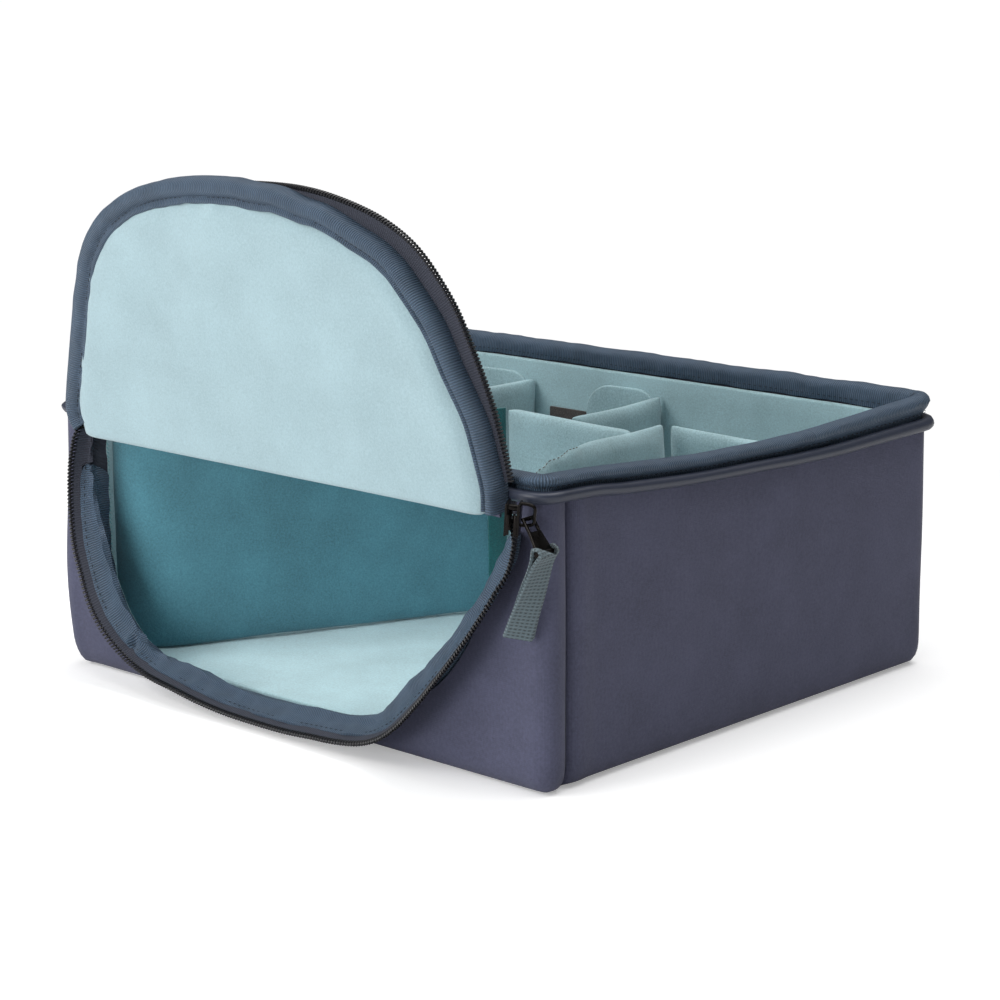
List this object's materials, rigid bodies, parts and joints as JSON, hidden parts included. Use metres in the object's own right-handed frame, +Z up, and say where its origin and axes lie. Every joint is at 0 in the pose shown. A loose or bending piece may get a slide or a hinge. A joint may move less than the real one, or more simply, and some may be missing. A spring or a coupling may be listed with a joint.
{
  "type": "camera bag insert",
  "caption": "Open-topped padded camera bag insert with a soft shell, bound rim, zipped door folded up at one end, and lift-out padded dividers inside.",
  "frame": {"origin": "centre of the flat underside, where the insert stands", "axes": "+X to the right as seen facing the door, along the long side of the plan; +Y from the door end to the far end; +Z up"},
  "size_m": [0.3208, 0.3005, 0.2453],
  "materials": {
    "shell": "matte navy laminated cloth",
    "shell_end": "matte navy laminated cloth, lit side",
    "foam": "closed-cell foam",
    "liner": "brushed tricot",
    "divider": "brushed tricot over foam",
    "access": "brushed felt over foam",
    "strip": "hook tape",
    "binding": "ribbed grosgrain tape",
    "tape": "woven zip tape",
    "teeth": "black nylon coil",
    "piping": "smooth coated piping",
    "metal": "black nickel",
    "webbing": "heather ribbed webbing",
    "hook": "hook patch"
  },
  "bodies": {
    "shell": {"base_shell": "shell", "base_foam_board": "foam", "floor_pad": "liner", "shell_wrap": "shell", "door_end_panel": "shell_end", "right_foam_board": "foam", "left_foam_board": "foam", "far_foam_board": "foam", "right_door_frame_board": "foam", "left_door_frame_board": "foam", "right_liner_wall": "liner", "left_liner_wall": "liner", "far_liner_wall": "liner", "door_frame_liner": "liner", "rim_binding": "binding", "rim_piping": "piping", "hinge_cloth": "binding", "frame_binding": "binding", "frame_zipper_tape": "tape", "frame_zipper_teeth": "teeth", "zipper_end_stop": "metal", "far_wall_hook_patch": "hook"},
    "door": {"door_lining": "liner", "door_foam": "foam", "door_outer_panel": "shell", "door_binding": "binding", "door_zipper_tape": "tape", "door_zipper_teeth": "teeth"},
    "slider": {"slider_body": "metal", "slider_bridge": "metal"},
    "pull": {"pull_tab": "metal"},
    "webbing": {"pull_webbing": "webbing"},
    "access": {"access_divider": "access", "access_divider_hook_strip": "strip"},
    "cross": {"cross_divider": "divider"},
    "arched": {"arched_divider": "divider"},
    "right_rear": {"right_rear_divider": "divider"},
    "middle_rear": {"middle_rear_divider": "divider", "middle_rear_divider_tab": "divider"},
    "left_rear": {"left_rear_divider": "divider", "left_rear_divider_tab": "divider"}
  },
  "joints": [
    {"name": "door_hinge", "type": "hinge", "parent": "shell", "child": "door", "pos_m": [0, -0.1435, 0.124], "axis": [1, 0, 0], "range_deg": [-6, 173]},
    {"name": "slider_travel", "type": "slide", "parent": "shell", "child": "slider", "axis": [-0.1086, -0.0037, -0.9941], "range_m": [0, 0.012]},
    {"name": "pull_swing", "type": "hinge", "parent": "slider", "child": "pull", "pos_m": [0.15254, -0.14367, 0.11855], "axis": [0.0658, -0.9978, -0.0034], "range_deg": [0, 90]},
    {"name": "webbing_swing", "type": "hinge", "parent": "pull", "child": "webbing", "pos_m": [0.16086, -0.14308, 0.10608], "axis": [0.0658, -0.9978, -0.0034], "range_deg": [0, 60]},
    {"name": "access_divider_lift", "type": "slide", "parent": "shell", "child": "access", "axis": [0, 0, 1], "range_m": [0, 0.122]},
    {"name": "cross_divider_lift", "type": "slide", "parent": "shell", "child": "cross", "axis": [0, 0, 1], "range_m": [0, 0.122]},
    {"name": "arched_divider_lift", "type": "slide", "parent": "shell", "child": "arched", "axis": [0, 0, 1], "range_m": [0, 0.122]},
    {"name": "right_rear_divider_lift", "type": "slide", "parent": "shell", "child": "right_rear", "axis": [0, 0, 1], "range_m": [0, 0.122]},
    {"name": "middle_rear_divider_lift", "type": "slide", "parent": "shell", "child": "middle_rear", "axis": [0, 0, 1], "range_m": [0, 0.122]},
    {"name": "left_rear_divider_lift", "type": "slide", "parent": "shell", "child": "left_rear", "axis": [0, 0, 1], "range_m": [0, 0.122]}
  ]
}
